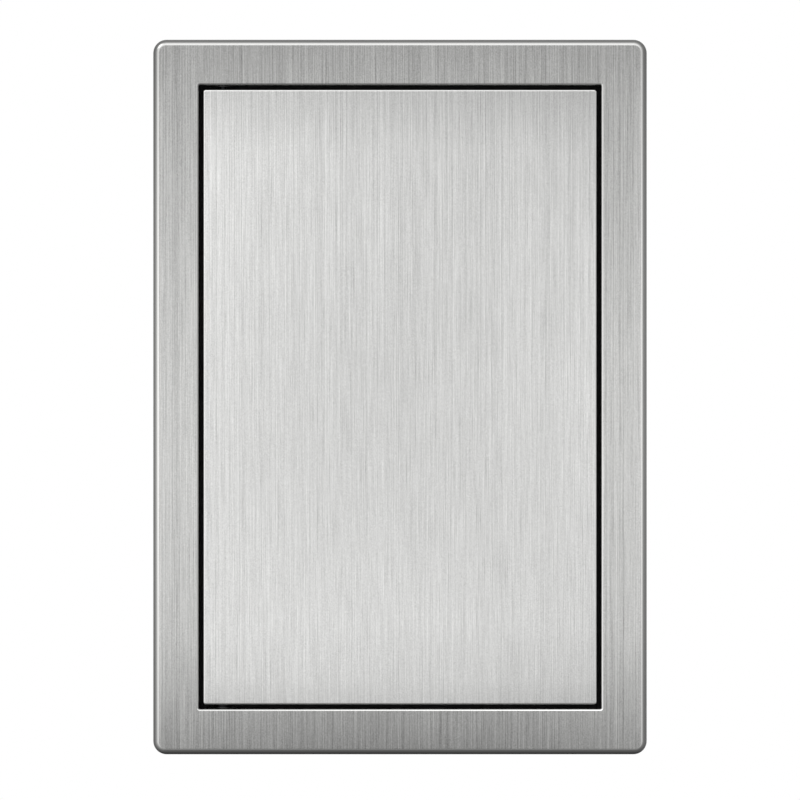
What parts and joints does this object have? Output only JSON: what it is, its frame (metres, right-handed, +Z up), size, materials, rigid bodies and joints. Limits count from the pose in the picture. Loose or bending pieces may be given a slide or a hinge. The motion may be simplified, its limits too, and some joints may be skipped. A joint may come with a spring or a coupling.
{
  "type": "access panel",
  "caption": "Flush access panel for a wall opening: flanged frame with a push-to-open door on concealed pin hinges, brushed steel facings over black mouldings.",
  "frame": {"origin": "centre of the wall opening on the face of the wall, which the flange's back lies against", "axes": "+X to the right seen from the room, +Y into the wall, +Z up along the panel's height"},
  "size_m": [0.221, 0.046, 0.32],
  "materials": {
    "brushed_facing": "fine vertical brushed grain, satin",
    "black_moulding": "fine moulded grain",
    "grey_moulding": "smooth moulded",
    "black_nylon": "smooth turned",
    "natural_acetal": "smooth moulded",
    "foam_rubber": "closed-cell foam",
    "buffer_rubber": "soft matt",
    "zinc_steel": "clear zinc plate",
    "spring_steel": "drawn wire, plated",
    "magnet_plate": "nickel plate",
    "blackened_steel": "black oxide, oiled"
  },
  "bodies": {
    "frame": {"frame_facing": "brushed_facing", "frame_body": "black_moulding", "wall_gasket": "foam_rubber", "upper_frame_bush": "black_nylon", "lower_frame_bush": "black_nylon", "door_buffers": "buffer_rubber", "latch_housing": "grey_moulding", "latch_cap": "grey_moulding", "latch_screws": "zinc_steel", "follower_clip": "spring_steel", "latch_spring": "spring_steel"},
    "plunger": {"latch_plunger": "natural_acetal", "latch_tip": "grey_moulding", "latch_magnet": "magnet_plate"},
    "follower": {"cam_follower": "spring_steel"},
    "hinge_pin": {"lower_hinge_pin": "blackened_steel"},
    "door": {"door_facing": "brushed_facing", "door_body": "black_moulding", "strike_plate": "zinc_steel", "strike_screws": "zinc_steel", "lower_door_bush": "black_nylon", "pin_spring": "spring_steel"},
    "upper_pin": {"upper_hinge_pin": "blackened_steel", "pin_knob": "grey_moulding", "knob_roll_pin": "spring_steel"}
  },
  "joints": [
    {"name": "door_latch_stroke", "type": "hinge", "parent": "frame", "child": "hinge_pin", "pos_m": [-0.0793, -0.0005, 0], "axis": [0, 0, -1], "range_deg": [-1, 5]},
    {"name": "door_swing", "type": "hinge", "parent": "hinge_pin", "child": "door", "pos_m": [-0.0793, -0.0005, 0], "axis": [0, 0, -1], "range_deg": [0, 105]},
    {"name": "plunger_slide", "type": "slide", "parent": "frame", "child": "plunger", "axis": [0, -1, 0], "range_m": [-0.00274, 0.0137], "deforming": ["latch_spring"]},
    {"name": "follower_swing", "type": "hinge", "parent": "frame", "child": "follower", "pos_m": [0.078, 0.033, 0], "axis": [0, 0, 1], "range_deg": [-1.7, 8.3]},
    {"name": "upper_pin_retract", "type": "slide", "parent": "door", "child": "upper_pin", "axis": [0, 0, -1], "range_m": [0, 0.0065], "stiffness_N_per_m": 500, "deforming": ["pin_spring"]}
  ],
  "couplings": [
    {"joint": "door_latch_stroke", "follows": "plunger_slide", "rad_per_m": 6.3573},
    {"joint": "follower_swing", "follows": "plunger_slide", "rad_per_m": 10.472}
  ]
}
